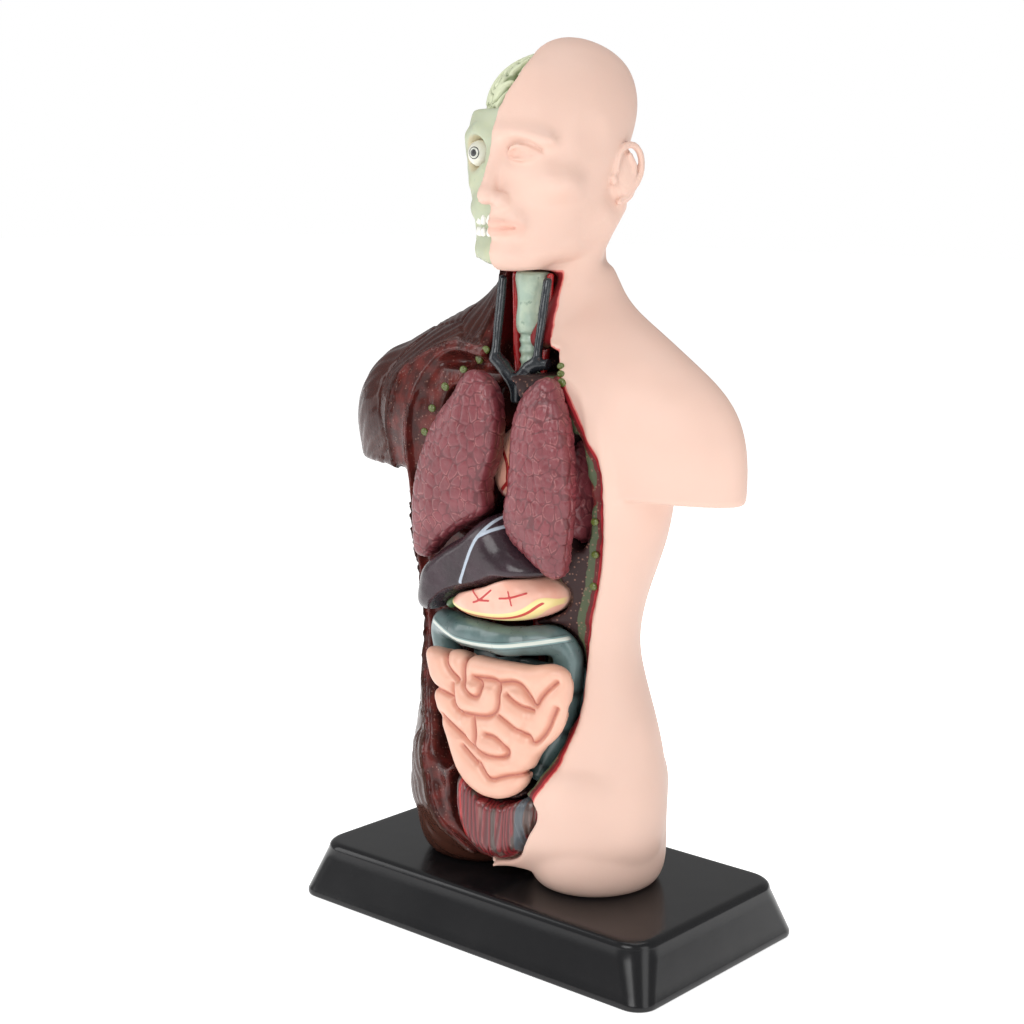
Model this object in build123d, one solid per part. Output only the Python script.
from build123d import *
import math
import os

# Desktop torso anatomy model, 280 mm tall, on a hollow plinth.
# Frame: origin at the middle of the plinth's underside, +Z up, the chest faces -Y,
# and the model's own left side is at +X. All sizes are in millimetres.

# ---- driving dimensions ----
TOTAL_H = 280.0
PLINTH_W = 142.4
PLINTH_D = 84.6
PLINTH_H = 18.4
PLINTH_DRAFT = 5.0          # how far the sides lean in from bottom to top
PLINTH_CORNER = 10.0
PLINTH_EDGE = 2.6           # round along the top edge
PLINTH_WALL = 2.4

BODY_WALL = 2.6
ARM_CUT_Z = 145.0           # flat ends of the arm stumps
SEAM_Y = -4.5               # plane where the front and rear shells meet
HOLLOW_TOP_Z = 196.0

LINER_WALL = 1.6
CHEST_BACK_Y = 1.4          # floor of the chest and belly tray
TRAY_FULL_Y = -24.0         # in front of this depth the tray's sides run straight
TRAY_BACK_SHARE = 0.86      # outline of the tray's floor against its mouth
NECK_BACK_Y = -8.0          # floor of the neck trough
FIT = 0.4                   # gap round a piece that lifts out

BRAIN_CENTRE = (0.0, -2.5, 258.0)
BRAIN_RADII = (20.0, 23.0, 17.6)
SKULL_CUT_Z = 258.0         # rim of the opened skull on the right side
BRAIN_GAP = 0.35
EYE_AT = (-8.8, -26.6, 244.6)
EYE_R = 4.0

SCREW_X = 22.0
SCREW_Y = (-13.0, 11.0)
SCREW_R = 1.5
SCREW_HEAD_R = 2.9
SCREW_HEAD_H = 2.0
SCREW_LEN = 14.0
BOSS_R = 4.2
BOSS_H = 15.0

PEG_R = 2.0
LENS_STEPS = (-0.99, -0.92, -0.7, -0.36, 0.0, 0.36, 0.7, 0.92, 0.99)

VERTEBRAE = 16
VERTEBRA_PITCH = 6.6
VERTEBRA_R = 5.2
SPINE_BOTTOM_Z = 64.0
AORTA_R = 2.2
AORTA_X = 1.0
AORTA_Y = -6.4
KIDNEY_FRONT_Y = -5.4
GUT_Y = -11.4
GUT_R = 2.4
NECK_MID_X = 2.2
NECK_MID_Y = -14.4
ARTERY_R = 1.2
VEIN_Y = -22.0
VEIN_R = 2.0
FRONT_Y = -80.0             # well in front of everything

# ---- body sections: height, half width, half depth, y of the middle ----
TRUNK = [
    (24.0, 38.0, 22.0, -3.6),
    (34.0, 46.0, 28.0, -4.6),
    (50.0, 47.0, 29.0, -4.7),
    (62.0, 45.4, 28.0, -4.7),
    (74.0, 43.2, 26.8, -6.2),
    (86.0, 40.6, 25.2, -8.0),
    (96.0, 39.2, 24.5, -9.4),
    (106.0, 40.3, 25.0, -10.4),
    (118.0, 43.4, 27.0, -10.3),
    (131.0, 46.7, 29.0, -8.6),
    (146.0, 49.0, 30.4, -8.2),
    (160.0, 51.0, 31.0, -8.0),
    (172.0, 48.0, 28.0, -7.6),
    (184.0, 38.0, 22.0, -6.0),
]
SHOULDERS = [
    (ARM_CUT_Z, 75.0, 21.0, -6.2),
    (156.0, 75.2, 22.6, -6.4),
    (166.0, 73.4, 23.2, -6.6),
    (175.0, 68.0, 22.0, -6.4),
    (182.0, 59.5, 20.0, -5.8),
    (189.0, 48.0, 17.6, -4.2),
    (196.0, 35.0, 15.4, -1.6),
    (203.0, 24.5, 14.2, 0.6),
    (212.0, 17.0, 14.0, 1.2),
]
NECK = [
    (178.0, 24.0, 19.0, -5.0),
    (190.0, 18.6, 18.0, -3.4),
    (204.0, 16.4, 17.2, -2.2),
    (214.0, 15.6, 15.8, -1.0),
    (226.0, 14.4, 13.0, 1.0),
    (238.0, 12.0, 11.0, 3.0),
]
HEAD = [
    (211.0, 10.0, 8.0, -21.5),
    (215.0, 14.6, 14.4, -15.6),
    (221.0, 17.6, 19.6, -10.6),
    (230.0, 20.0, 22.4, -8.6),
    (240.0, 22.6, 24.4, -7.4),
    (250.0, 24.2, 26.0, -5.2),
    (258.0, 23.8, 26.6, -2.6),
    (265.0, 21.8, 25.0, -0.4),
    (271.0, 18.2, 21.4, 1.6),
    (276.0, 12.8, 15.4, 2.6),
    (279.0, 6.8, 8.4, 2.8),
    (TOTAL_H, 2.2, 2.8, 2.8),
]
THIGH = [
    (PLINTH_H, 17.6, 19.6, -1.2),
    (PLINTH_H + 4.0, 20.2, 22.8, -1.4),
    (34.0, 21.4, 24.6, -2.6),
    (48.0, 22.0, 26.0, -4.0),
    (60.0, 20.0, 24.0, -4.4),
]
THIGH_X = 22.6

# ---- outlines seen from the front: (x, z) ----
OPENING_SIDE = [
    (28.0, 183.5), (33.6, 175.5), (37.3, 165.5), (38.9, 153.0), (38.7, 138.0), (37.6, 122.0),
    (34.2, 106.0), (32.2, 90.0), (31.2, 78.0), (27.4, 65.0), (23.4, 51.0), (17.2, 36.5),
    (9.0, 27.6),
]
OPENING_BOTTOM_Z = 25.0
OPENING_TOP_Z = 186.0
NECK_OPENING = [(-9.0, 178.0), (-8.6, 196.0), (-8.2, 210.4), (12.6, 210.4), (12.9, 198.0), (16.0, 178.0)]

RIGHT_LUNG = [
    (-4.0, 180.8), (2.6, 176.0), (4.8, 165.0), (3.0, 153.0), (0.4, 145.0), (1.0, 138.6),
    (-5.4, 134.0), (-12.4, 129.6), (-18.6, 124.8), (-23.8, 120.2), (-27.0, 120.8), (-28.4, 127.0),
    (-28.8, 136.0), (-27.4, 147.0), (-24.0, 157.0), (-18.4, 166.6), (-11.0, 175.4),
]
LEFT_LUNG = [
    (24.6, 180.6), (18.4, 176.0), (14.2, 167.0), (13.4, 157.0), (12.6, 146.0), (11.2, 136.4),
    (13.4, 131.0), (20.0, 126.2), (27.0, 121.8), (31.6, 120.8), (33.6, 127.0),
    (34.8, 140.0), (34.8, 153.0), (33.2, 165.0), (29.8, 175.0),
]
HEART = [
    (3.6, 164.0), (-3.6, 159.6), (-6.8, 151.0), (-4.6, 142.6), (3.6, 138.2), (13.6, 137.0),
    (21.4, 140.0), (24.0, 147.0), (21.4, 156.0), (14.0, 162.6),
]
LIVER = [
    (-25.2, 103.6), (-21.4, 104.0), (-17.4, 107.4), (-12.0, 110.6), (-4.0, 113.4), (5.0, 116.6), (14.0, 119.8),
    (23.0, 122.0), (19.6, 125.4), (12.8, 129.0), (8.6, 134.0), (5.4, 137.0), (1.0, 136.2),
    (-5.6, 131.4), (-13.0, 126.8), (-19.6, 122.2), (-24.6, 117.6), (-26.9, 110.4),
]
STOMACH = [
    (-12.6, 107.0), (-7.6, 105.0), (2.0, 104.4), (12.0, 105.2), (20.0, 107.8), (24.8, 111.6), (25.2, 116.0),
    (20.6, 119.8), (13.6, 124.0), (7.6, 126.6), (2.0, 122.6), (-4.0, 117.0), (-10.0, 111.8),
]
SMALL_INTESTINE = [
    (-22.4, 91.6), (-12.0, 92.4), (0.0, 92.0), (12.0, 92.3), (21.0, 93.2), (28.0, 94.4), (32.2, 92.4),
    (33.0, 86.0), (31.6, 78.4), (28.0, 71.4), (22.8, 66.4), (19.4, 60.6), (16.4, 54.0), (11.0, 49.8),
    (3.4, 48.0), (-5.0, 50.2), (-10.6, 55.8), (-13.8, 63.2), (-17.4, 70.6), (-20.2, 78.4), (-22.6, 86.0),
]
KIDNEY = [
    (13.0, 97.0), (18.0, 92.6), (24.4, 94.0), (26.6, 102.0), (24.6, 110.0), (19.0, 112.4),
    (14.0, 109.4), (15.0, 103.0),
]
PELVIS = [
    (0.6, 27.2), (7.4, 28.0), (13.0, 32.0), (16.8, 38.4), (19.8, 46.6), (17.4, 50.2), (12.4, 47.8),
    (8.0, 46.4), (3.4, 45.8), (-2.0, 46.6), (-7.0, 49.8), (-12.0, 51.8), (-13.4, 46.0), (-11.8, 36.4),
    (-6.6, 29.4),
]
PELVIS_BACK_Y = -21.0
PELVIS_FRONT_Y = -32.4
COLON_PATH = [
    (-18.0, -19.6, 59.0), (-21.4, -20.0, 70.0), (-24.2, -20.0, 84.0), (-26.0, -22.0, 98.2),
    (-10.0, -29.4, 98.4), (8.0, -30.0, 98.2), (25.6, -22.0, 100.6),
    (23.6, -20.0, 84.0), (20.4, -20.0, 70.0), (14.0, -19.6, 57.0),
]
COLON_BENDS = (9.0, 9.0, 4.6, 6.0, 9.0, 6.0, 4.6, 9.0)
COLON_R = 4.7
COLON_PLATE_Y = (-16.0, -13.4)      # web that joins the two sides of the colon
COLON_PLATE_SHARE = 0.86

# Depths of the organs that lift out, back and front
HEART_Y = (-9.4, -26.0)
LUNG_Y = (-27.4, -38.0)
LIVER_Y = (-20.0, -39.0)
STOMACH_Y = (-14.4, -38.4)
BOWEL_Y = (-26.8, -36.4)
BOWEL_ROOT_Y = (-27.6, -16.6)       # block behind the bowel's loops
BOWEL_ROOT_SHARE = 0.40


def oval(section, grow=0.0, centre_x=0.0):
    height, half_x, half_y, centre_y = section
    return Plane.XY.offset(height) * Pos(centre_x, centre_y) * Ellipse(half_x + grow, half_y + grow)


def column(sections, grow=0.0, centre_x=0.0):
    """Solid through horizontal ovals, from the lowest to the highest."""
    return loft([oval(section, grow, centre_x) for section in sections])


def raised(sections, low, high):
    """The same sections with the two ends moved in, for the hollow inside a wall."""
    first, last = sections[0], sections[-1]
    inner = list(sections)
    inner[0] = (first[0] + low,) + first[1:]
    inner[-1] = (last[0] - high,) + last[1:]
    return inner


def body_form(wall=0.0):
    """Trunk, thighs, shoulders with arm stumps, as one solid, shrunk by a wall."""
    form = column(raised(TRUNK, wall, wall), -wall)
    form += column(raised(SHOULDERS, wall, wall), -wall)
    for side in (-1, 1):
        form += column(raised(THIGH, wall, wall), -wall, side * THIGH_X)
    return form


def grown(points, margin):
    """The outline moved outwards: each point along the bisector of its two sides."""
    count = len(points)
    area = sum(points[i - 1][0] * points[i][1] - points[i][0] * points[i - 1][1] for i in range(count))
    outwards = math.copysign(margin, area)
    moved = []
    for i, (px, pz) in enumerate(points):
        before, after = points[i - 1], points[(i + 1) % count]
        first = Vector(px - before[0], pz - before[1]).normalized()
        second = Vector(after[0] - px, after[1] - pz).normalized()
        along = (first + second).normalized()
        reach = outwards / max(0.5, along.dot(first))
        moved.append((px + along.Y * reach, pz - along.X * reach))
    return moved


def front_face(points, y):
    """Closed smooth outline of (x, z) points, on the plane at depth y."""
    loop = Spline([Vector(px, y, pz) for px, pz in points], periodic=True)
    return Face(Wire([loop]))


def drawn_in(points, share):
    """The outline scaled about its own middle."""
    mid_x = sum(p[0] for p in points) / len(points)
    mid_z = sum(p[1] for p in points) / len(points)
    return [(mid_x + share * (px - mid_x), mid_z + share * (pz - mid_z)) for px, pz in points]


def pillow(points, back_y, front_y, back_share=0.93):
    """Organ with a crowned front: the outline lofted through five depths."""
    depth = back_y - front_y
    steps = [(0.0, back_share), (0.25, 0.985), (0.55, 1.0), (0.84, 0.87), (1.0, 0.55)]
    faces = [front_face(drawn_in(points, share), back_y - step * depth) for step, share in steps]
    return loft(faces)


def along_y(face, y_from, y_to):
    """Straight block of a front outline between two depths; the face lies at y = 0."""
    return Pos(0, y_from, 0) * extrude(face, amount=abs(y_to - y_from), dir=(0, math.copysign(1, y_to - y_from), 0))


def tube(points, radius, bends):
    path = FilletPolyline(*points, radius=bends) if bends else Polyline(*points)
    profile = Plane(origin=path @ 0, z_dir=path % 0) * Circle(radius)
    return sweep(profile, path=path)


def ball(centre, radius):
    return Pos(*centre) * Sphere(radius)


def lens(centre, radii, turn=0.0):
    """Ellipsoid as a loft of ovals, turned about the Y axis."""
    faces = []
    for share in LENS_STEPS:
        width = math.sqrt(1.0 - share * share)
        faces.append(Plane.XY.offset(share * radii[2]) * Ellipse(radii[0] * width, radii[1] * width))
    return Pos(*centre) * Rot(0, turn, 0) * loft(faces)


def peg(x, z, from_y):
    """Locating peg on the back of an organ, through the tray's floor."""
    length = CHEST_BACK_Y + LINER_WALL - from_y
    return Pos(x, from_y + length / 2, z) * Rot(90, 0, 0) * Cylinder(PEG_R, length)


def peg_hole(x, z):
    mid_y = CHEST_BACK_Y + LINER_WALL / 2
    return Pos(x, mid_y, z) * Rot(90, 0, 0) * Cylinder(PEG_R + FIT, LINER_WALL + 2.0)


# ---- plinth ----
def plinth():
    def block(width, depth, height, corner, draft):
        low = Plane.XY * RectangleRounded(width, depth, corner)
        high = Plane.XY.offset(height) * RectangleRounded(width - 2 * draft, depth - 2 * draft, corner)
        return loft([low, high])

    outer = block(PLINTH_W, PLINTH_D, PLINTH_H, PLINTH_CORNER, PLINTH_DRAFT)
    outer = fillet(outer.edges().group_by(Axis.Z)[-1], PLINTH_EDGE)
    wall = 2 * PLINTH_WALL
    inner = block(PLINTH_W - wall, PLINTH_D - wall, PLINTH_H - PLINTH_WALL,
                  PLINTH_CORNER - PLINTH_WALL, PLINTH_DRAFT)
    tray = outer - inner
    for sx, sy in screw_places():
        hole = Pos(sx, sy, PLINTH_H - PLINTH_WALL / 2) * Cylinder(SCREW_R + 0.3, PLINTH_WALL + 2)
        tray -= hole
    return tray


def screw_places():
    return [(side * SCREW_X, sy) for side in (-1, 1) for sy in SCREW_Y]


def screws():
    made = []
    head_top = PLINTH_H - PLINTH_WALL
    for sx, sy in screw_places():
        head = Pos(sx, sy, head_top - SCREW_HEAD_H / 2) * Cylinder(SCREW_HEAD_R, SCREW_HEAD_H)
        head = chamfer(head.edges().group_by(Axis.Z)[0], 0.5)
        slot = Pos(sx, sy, head_top - SCREW_HEAD_H) * (Box(3.2, 0.7, 1.6) + Box(0.7, 3.2, 1.6))
        shank = Pos(sx, sy, head_top + SCREW_LEN / 2) * Cylinder(SCREW_R, SCREW_LEN)
        made.append(head - slot + shank)
    return made


def screw_bosses():
    made = None
    for sx, sy in screw_places():
        boss = Pos(sx, sy, PLINTH_H + BOSS_H / 2) * Cylinder(BOSS_R, BOSS_H)
        made = boss if made is None else made + boss
    return made


def screw_pilots():
    made = None
    for sx, sy in screw_places():
        pilot = Pos(sx, sy, PLINTH_H + SCREW_LEN / 2 - 1.0) * Cylinder(SCREW_R, SCREW_LEN + 2.0)
        made = pilot if made is None else made + pilot
    return made


# ---- opening and its tray ----
def opening_outline():
    right_side = [(-px, pz) for px, pz in OPENING_SIDE]
    return [(0.0, OPENING_TOP_Z)] + OPENING_SIDE + [(0.0, OPENING_BOTTOM_Z)] + right_side[::-1]


def tray_volume(grow, back_y, neck_back_y):
    mouth = grown(opening_outline(), grow)
    floor = front_face(drawn_in(mouth, TRAY_BACK_SHARE), back_y)
    chest = loft([floor, front_face(mouth, TRAY_FULL_Y)])
    chest += along_y(front_face(mouth, 0.0), FRONT_Y, TRAY_FULL_Y)
    corners = [Vector(px, 0, pz) for px, pz in grown(NECK_OPENING, grow)]
    neck = Face(Wire(Polyline(corners, close=True).edges()))
    return chest + along_y(neck, FRONT_Y, neck_back_y)


def peg_places():
    return {"heart": (9.0, 150.0), "right_lung": (-22.0, 146.0), "left_lung": (29.0, 146.0),
            "liver": (-20.0, 116.0), "stomach": (16.0, 118.6), "large_intestine": (-12.0, 70.0)}


# ---- fixed inner pieces ----
def vertebrae():
    """Front halves of the vertebrae, standing proud of the tray's floor."""
    made = []
    for index in range(VERTEBRAE):
        z = SPINE_BOTTOM_Z + index * VERTEBRA_PITCH
        body = Pos(0, CHEST_BACK_Y, z) * Cylinder(VERTEBRA_R, VERTEBRA_PITCH - 0.6)
        body = body & (Pos(0, CHEST_BACK_Y - 10, z) * Box(40, 20, 40))
        made.append(body)
    return made


def descending_aorta():
    top = (AORTA_X, AORTA_Y, 168.0)
    fork = (AORTA_X, AORTA_Y, 74.0)
    trunk = tube([fork, top], AORTA_R, None)
    for side in (-1, 1):
        branch = tube([fork, (AORTA_X + side * 13.0, AORTA_Y, 56.0)], AORTA_R * 0.72, None)
        trunk += branch
    trunk += ball(fork, AORTA_R)
    trunk += ball(top, AORTA_R)
    return trunk


def kidney(side):
    outline = [(side * px, pz) for px, pz in KIDNEY]
    return pillow(outline, CHEST_BACK_Y, KIDNEY_FRONT_Y, 0.9)


def duodenum_and_pancreas():
    loop = tube([(-14.0, GUT_Y, 112.5), (-20.0, GUT_Y, 112.0), (-21.0, GUT_Y, 100.0), (-13.0, GUT_Y, 94.0)],
                GUT_R, (4.0, 5.0))
    pancreas = tube([(-14.0, GUT_Y, 103.0), (3.0, GUT_Y, 106.0), (20.0, GUT_Y, 112.0)], GUT_R, (30.0,))
    bridge = tube([(-20.5, GUT_Y, 103.0), (-14.0, GUT_Y, 103.0)], GUT_R, None)
    return loop + bridge + pancreas


def spleen():
    return lens((24.6, -6.4, 119.4), (5.0, 4.2, 8.4), 14.0)


def pelvic_muscles():
    """Block that closes the bottom of the tray, up to the lowest coil of the small intestine."""
    return pillow(PELVIS, PELVIS_BACK_Y, PELVIS_FRONT_Y, 0.97)


def larynx_and_trachea():
    voice_box = column([
        (191.0, 4.0, 4.0, NECK_MID_Y), (195.0, 5.0, 5.0, NECK_MID_Y), (201.0, 4.4, 4.8, NECK_MID_Y),
        (205.0, 5.0, 5.2, NECK_MID_Y), (210.0, 5.0, 5.0, NECK_MID_Y),
    ], 0.0, NECK_MID_X)
    windpipe = tube([(NECK_MID_X, NECK_MID_Y, 184.6), (NECK_MID_X, NECK_MID_Y, 192.0)], 3.6, None)
    lower = tube([(NECK_MID_X, NECK_MID_Y, 173.6), (NECK_MID_X, NECK_MID_Y, 185.0)], 3.4, None)
    return voice_box + windpipe + lower


def neck_arteries():
    made = []
    for side in (-1, 1):
        low = (NECK_MID_X + side * 4.6, NECK_MID_Y, 174.0)
        mid = (NECK_MID_X + side * 6.0, NECK_MID_Y, 188.0)
        high = (NECK_MID_X + side * 6.8, NECK_MID_Y, 209.6)
        made.append(tube([low, mid, high], ARTERY_R, (30.0,)))
    return made


def neck_veins():
    """Jugulars, the two brachiocephalic veins and the vena cava below them, as one cast."""
    fork = (NECK_MID_X + 0.6, VEIN_Y, 176.0)
    veins = tube([(NECK_MID_X + 0.6, VEIN_Y, 170.2), fork], VEIN_R, None)
    for side in (-1, 1):
        low = (NECK_MID_X + side * 8.2, VEIN_Y, 183.4)
        veins += tube([fork, low], VEIN_R, None)
        veins += ball(low, VEIN_R)
        veins += tube([low, (NECK_MID_X + side * 8.7, VEIN_Y + 4.0, 208.4)], VEIN_R * 0.75, None)
    return (veins + ball(fork, VEIN_R)).solids()


def brain_half(side):
    whole = lens(BRAIN_CENTRE, BRAIN_RADII)
    return whole & (Pos(side * (40 + BRAIN_GAP / 2), 0, 260) * Box(80, 90, 90))


# ---- organs that lift out ----
def organs():
    pegs = peg_places()
    made = {}

    heart = pillow(HEART, *HEART_Y) + peg(*pegs["heart"], -12.0)
    arch = tube([(6.0, -16.0, 160.0), (6.4, -16.0, 169.0), (12.0, -16.0, 169.4), (12.4, -16.0, 160.0)],
                2.6, (2.7, 2.7))
    made["great_vessels"] = (arch - pillow(HEART, *HEART_Y)).solids()
    made["heart"] = heart.solids()

    made["right_lung"] = lung(RIGHT_LUNG, (-18.6, -18.0, 147.0), (10.4, 12.0, 19.0), pegs["right_lung"])
    made["left_lung"] = lung(LEFT_LUNG, (29.0, -17.4, 146.0), (3.8, 10.8, 17.0), pegs["left_lung"])

    liver = pillow(LIVER, *LIVER_Y)
    liver += lens((-20.0, -22.0, 113.4), (7.2, 7.4, 6.4), -14.0)
    liver += peg(*pegs["liver"], -16.0)
    gall = lens((-17.2, -27.0, 107.2), (2.4, 2.8, 3.4), 30.0)
    made["gallbladder"] = (gall - liver).solids()
    made["liver"] = liver.solids()

    stomach = pillow(STOMACH, *STOMACH_Y)
    liver_room = along_y(front_face(grown(LIVER, FIT), 0.0), FRONT_Y, LIVER_Y[0] + 0.6)
    stomach = stomach - liver_room + peg(*pegs["stomach"], -16.0)
    made["stomach"] = stomach.solids()

    colon = tube(COLON_PATH, COLON_R, COLON_BENDS)
    colon += ball(COLON_PATH[0], COLON_R) + ball(COLON_PATH[-1], COLON_R)
    plate = along_y(front_face(drawn_in(SMALL_INTESTINE, COLON_PLATE_SHARE), 0.0), *COLON_PLATE_Y)
    colon += plate + peg(*pegs["large_intestine"], COLON_PLATE_Y[1])
    made["large_intestine"] = colon.solids()

    bowel = pillow(SMALL_INTESTINE, *BOWEL_Y)
    bowel += along_y(front_face(drawn_in(SMALL_INTESTINE, BOWEL_ROOT_SHARE), 0.0), *BOWEL_ROOT_Y)
    made["small_intestine"] = bowel.solids()
    return made


def lung(outline, lobe_at, lobe_radii, peg_at):
    front = pillow(outline, *LUNG_Y, 0.985)
    lobe = lens(lobe_at, lobe_radii)
    return (front + lobe + peg(*peg_at, lobe_at[1] + lobe_radii[1] - 1.6)).solids()


def write(node, *solids):
    flat = []
    for shape in solids:
        flat += list(shape.solids())
    shape = flat[0] if len(flat) == 1 else Compound(children=flat)
    export_step(shape, f"parts/{node}.step")


def main():
    os.makedirs("parts", exist_ok=True)

    # Body shells
    outer = body_form() + column(NECK) + column(HEAD)
    hollow = body_form(BODY_WALL) & (Pos(0, 0, HOLLOW_TOP_Z / 2) * Box(200, 200, HOLLOW_TOP_Z))
    pocket = lens(BRAIN_CENTRE, [r + BRAIN_GAP for r in BRAIN_RADII])
    skull_gap = Pos(-30, 0, SKULL_CUT_Z + 20) * Box(60, 90, 40)
    tray_outer = tray_volume(LINER_WALL, CHEST_BACK_Y + LINER_WALL, NECK_BACK_Y + LINER_WALL)
    tray_inner = tray_volume(0.0, CHEST_BACK_Y, NECK_BACK_Y)
    shell = outer - (hollow - screw_bosses()) - pocket - skull_gap - ball(EYE_AT, EYE_R)
    shell = shell - tray_outer - screw_pilots()
    front_half = Pos(0, SEAM_Y - 100, 150) * Box(200, 200, 320)
    rear_half = Pos(0, SEAM_Y + 100, 150) * Box(200, 200, 320)
    write("torso_front_shell", shell & front_half)
    write("torso_rear_shell", shell & rear_half)
    write("right_eyeball", ball(EYE_AT, EYE_R))

    # Tray of the chest and belly, with the neck trough
    liner = (tray_outer - tray_inner) & outer
    for px, pz in peg_places().values():
        liner -= peg_hole(px, pz)
    write("cavity_liner", liner)

    # Fixed inner pieces
    write("vertebral_column", *vertebrae())
    write("descending_aorta", descending_aorta())
    for name, side in (("right_kidney", -1), ("left_kidney", 1)):
        write(name, kidney(side))
    write("duodenum_and_pancreas", duodenum_and_pancreas())
    write("spleen", spleen())
    write("pelvic_muscles", pelvic_muscles())
    write("larynx_and_trachea", larynx_and_trachea())
    write("neck_arteries", *neck_arteries())
    write("neck_veins", *neck_veins())
    write("brain_left", brain_half(1))

    # Pieces that lift out
    write("brain_right", brain_half(-1))
    for name, solids in organs().items():
        write(name, *solids)

    # Plinth
    write("base_plate", plinth())
    write("base_screws", *screws())


if __name__ == "__main__":
    main()
